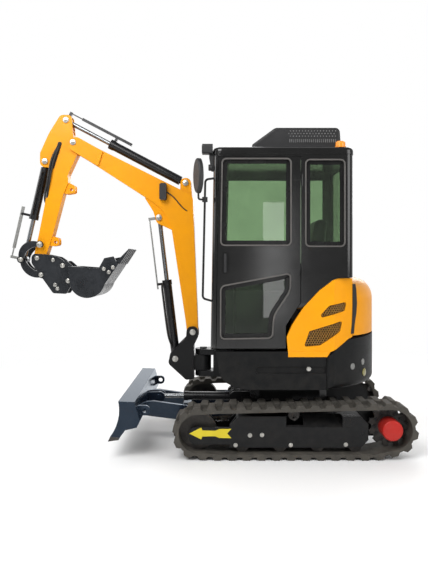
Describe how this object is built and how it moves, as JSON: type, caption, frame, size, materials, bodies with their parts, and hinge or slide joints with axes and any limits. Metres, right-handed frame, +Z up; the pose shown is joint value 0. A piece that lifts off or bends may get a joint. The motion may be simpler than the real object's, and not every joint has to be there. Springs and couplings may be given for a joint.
{
  "type": "mini excavator",
  "caption": "Compact tracked excavator with a closed cab, a swinging boom, arm and bucket worked by rams, rubber tracks and a dozer blade at the front",
  "frame": {"origin": "on the slew axis, at the level of the ground under the tracks", "axes": "+X is the front, where boom and blade are, +Y the operator's left, +Z up"},
  "size_m": [3.4919, 1.5978, 2.9469],
  "materials": {
    "yellow_paint": "gloss yellow-orange paint",
    "cab_black": "gloss black paint",
    "frame_black": "satin black paint",
    "blade_black": "satin black paint, scuffed",
    "ram_black": "semi-gloss black paint",
    "textured_grey": "dark textured coating",
    "track_rubber": "dusty black rubber",
    "dark_steel": "dark oiled steel",
    "bucket_steel": "dark blue-grey paint",
    "red_paint": "red paint",
    "chrome_rod": "hard chrome",
    "engine_metal": "cast metal",
    "tinted_glass": "green tinted safety glass",
    "grille_black": "black slatted grille",
    "trim_plastic": "black moulded plastic",
    "seat_vinyl": "black vinyl",
    "amber_lens": "amber lens"
  },
  "bodies": {
    "undercarriage": {"undercarriage_frame": "frame_black", "track_left": "track_rubber", "track_right": "track_rubber", "idlers": "dark_steel", "sprockets": "dark_steel", "final_drives": "red_paint", "track_rollers": "dark_steel", "slew_ring": "dark_steel"},
    "blade": {"blade": "blade_black", "cutting_edge": "dark_steel"},
    "blade_barrel": {"blade_barrel": "ram_black"},
    "blade_rod": {"blade_rod": "chrome_rod"},
    "upper": {"main_frame": "frame_black", "counterweight": "textured_grey", "side_skirts": "textured_grey", "hood_left": "yellow_paint", "vent_grilles": "grille_black", "hood_right": "yellow_paint", "engine_block": "engine_metal", "cab_frame": "cab_black", "cab_roof": "cab_black", "cab_glass": "tinted_glass", "seat_base": "trim_plastic", "seat_cushion": "seat_vinyl", "seat_back": "seat_vinyl", "control_levers": "trim_plastic", "ac_unit": "trim_plastic", "mirror": "trim_plastic", "handrail": "cab_black", "cab_lamp": "trim_plastic", "beacon": "amber_lens"},
    "door": {"door": "cab_black", "door_glass": "tinted_glass", "door_handle": "trim_plastic"},
    "rear_hood": {"rear_hood": "yellow_paint"},
    "swing_bracket": {"swing_bracket": "frame_black"},
    "boom": {"boom": "yellow_paint", "boom_lamp": "trim_plastic"},
    "boom_barrel": {"boom_barrel": "ram_black"},
    "boom_rod": {"boom_rod": "chrome_rod", "boom_guard": "ram_black"},
    "arm": {"arm": "yellow_paint"},
    "arm_barrel": {"arm_barrel": "ram_black"},
    "arm_rod": {"arm_rod": "chrome_rod", "arm_guard": "ram_black"},
    "bucket_barrel": {"bucket_barrel": "ram_black"},
    "bucket_rod": {"bucket_rod": "chrome_rod", "bucket_guard": "ram_black"},
    "guide_link": {"guide_link": "bucket_steel"},
    "bucket_link": {"bucket_link": "bucket_steel"},
    "bucket": {"coupler": "bucket_steel", "bucket": "bucket_steel", "bucket_teeth": "bucket_steel"}
  },
  "joints": [
    {"name": "slew", "type": "hinge", "parent": "undercarriage", "child": "upper", "pos_m": [0, 0, 0.54], "axis": [0, 0, 1], "continuous": true},
    {"name": "boom_swing", "type": "hinge", "parent": "upper", "child": "swing_bracket", "pos_m": [0.75, 0, 0.66], "axis": [0, 0, -1], "range_deg": [-55, 55]},
    {"name": "boom_lift", "type": "hinge", "parent": "swing_bracket", "child": "boom", "pos_m": [0.845, 0, 0.941], "axis": [0, -1, 0], "range_deg": [-64, 3]},
    {"name": "arm_crowd", "type": "hinge", "parent": "boom", "child": "arm", "pos_m": [1.924, 0, 2.651], "axis": [0, 1, 0], "range_deg": [-95, 8]},
    {"name": "bucket_curl", "type": "hinge", "parent": "arm", "child": "bucket", "pos_m": [2.251, 0, 1.608], "axis": [0, 1, 0], "range_deg": [-130, 10]},
    {"name": "blade_lift", "type": "hinge", "parent": "undercarriage", "child": "blade", "pos_m": [0.47, 0, 0.3], "axis": [0, -1, 0], "range_deg": [-22, 10]},
    {"name": "door_open", "type": "hinge", "parent": "upper", "child": "door", "pos_m": [-0.058, 0.711, 1.6], "axis": [0, 0, 1], "range_deg": [0, 120]},
    {"name": "rear_hood_open", "type": "hinge", "parent": "upper", "child": "rear_hood", "pos_m": [-0.492, 0, 1.44], "axis": [0, 1, 0], "range_deg": [0, 65]},
    {"name": "boom_ram_tilt", "type": "hinge", "parent": "swing_bracket", "child": "boom_barrel", "pos_m": [1.002, 0, 0.701], "axis": [0, -1, 0], "range_deg": [-59.09, 3.25]},
    {"name": "boom_ram_slide", "type": "slide", "parent": "boom_barrel", "child": "boom_rod", "axis": [0.1177, 0, 0.993], "range_m": [-0.28654, 0.01534]},
    {"name": "arm_ram_tilt", "type": "hinge", "parent": "boom", "child": "arm_barrel", "pos_m": [0.911, 0, 2.289], "axis": [0, 1, 0], "range_deg": [-0.52, 0.75]},
    {"name": "arm_ram_slide", "type": "slide", "parent": "arm_barrel", "child": "arm_rod", "axis": [0.8853, 0, 0.4651], "range_m": [-0.32653, 0.02933]},
    {"name": "bucket_ram_tilt", "type": "hinge", "parent": "arm", "child": "bucket_barrel", "pos_m": [2.185, 0, 2.484], "axis": [0, 1, 0], "range_deg": [-3.76, 0.75]},
    {"name": "bucket_ram_slide", "type": "slide", "parent": "bucket_barrel", "child": "bucket_rod", "axis": [0.2247, 0, -0.9744], "range_m": [-0.30341, 0.02519]},
    {"name": "guide_link_turn", "type": "hinge", "parent": "arm", "child": "guide_link", "pos_m": [2.22, 0, 1.729], "axis": [0, 1, 0], "range_deg": [-89.85, 7.37]},
    {"name": "bucket_link_turn", "type": "hinge", "parent": "guide_link", "child": "bucket_link", "pos_m": [2.39, 0, 1.595], "axis": [0, 1, 0], "range_deg": [-2.63, 28.2]},
    {"name": "blade_ram_tilt", "type": "hinge", "parent": "undercarriage", "child": "blade_barrel", "pos_m": [0.461, 0, 0.347], "axis": [0, -1, 0], "range_deg": [-21.95, 10.25]},
    {"name": "blade_ram_slide", "type": "slide", "parent": "blade_barrel", "child": "blade_rod", "axis": [1, 0, 0.0044], "range_m": [-0.00973, 0.01901]}
  ],
  "couplings": [
    {"joint": "boom_ram_tilt", "follows": "boom_lift", "ratio": 0.91543},
    {"joint": "boom_ram_slide", "follows": "boom_lift", "m_per_rad": 0.25474},
    {"joint": "arm_ram_tilt", "follows": "arm_crowd", "ratio": -0.002622},
    {"joint": "arm_ram_slide", "follows": "arm_crowd", "m_per_rad": 0.19573},
    {"joint": "bucket_ram_tilt", "follows": "bucket_curl", "ratio": 0.025082},
    {"joint": "bucket_ram_slide", "follows": "bucket_curl", "m_per_rad": 0.13284},
    {"joint": "guide_link_turn", "follows": "bucket_curl", "ratio": 0.68733},
    {"joint": "bucket_link_turn", "follows": "bucket_curl", "ratio": -0.21305},
    {"joint": "blade_ram_tilt", "follows": "blade_lift", "ratio": 0.97521},
    {"joint": "blade_ram_slide", "follows": "blade_lift", "m_per_rad": -0.044307}
  ]
}
